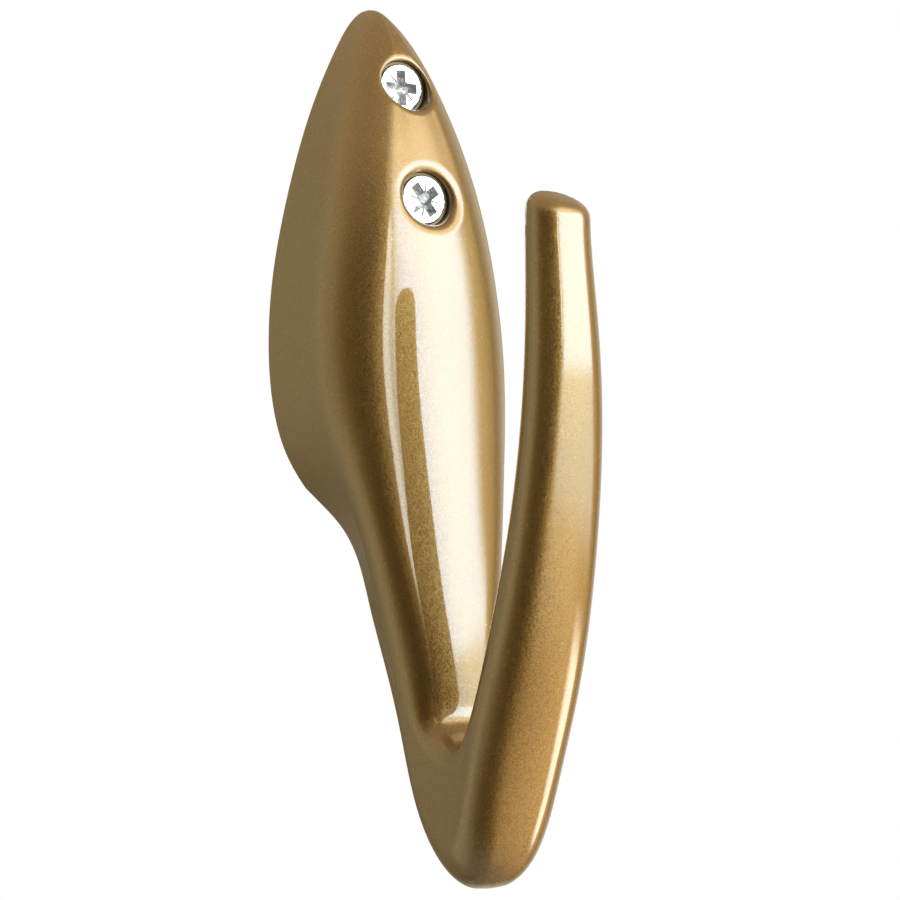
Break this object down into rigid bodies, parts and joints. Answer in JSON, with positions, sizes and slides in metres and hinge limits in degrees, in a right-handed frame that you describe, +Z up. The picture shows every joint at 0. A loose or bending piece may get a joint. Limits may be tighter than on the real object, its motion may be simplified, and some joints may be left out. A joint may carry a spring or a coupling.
{
  "type": "wall hook",
  "caption": "Cast wall hook with a leaf-shaped base, a deep narrow throat and a long upright arm, fixed by countersunk screws.",
  "frame": {"origin": "on the wall plane, midway between the two screw axes", "axes": "+Z up the wall, +Y into the wall, the hook stands out towards -Y and +X is to the right seen from the room"},
  "size_m": [0.0296, 0.0661, 0.1147],
  "materials": {
    "gold_lacquer": "metallic gold lacquer under a gloss clear coat",
    "zinc": "bright zinc plate"
  },
  "bodies": {
    "root": {"hook_casting": "gold_lacquer", "upper_screw": "zinc", "lower_screw": "zinc"}
  },
  "joints": []
}
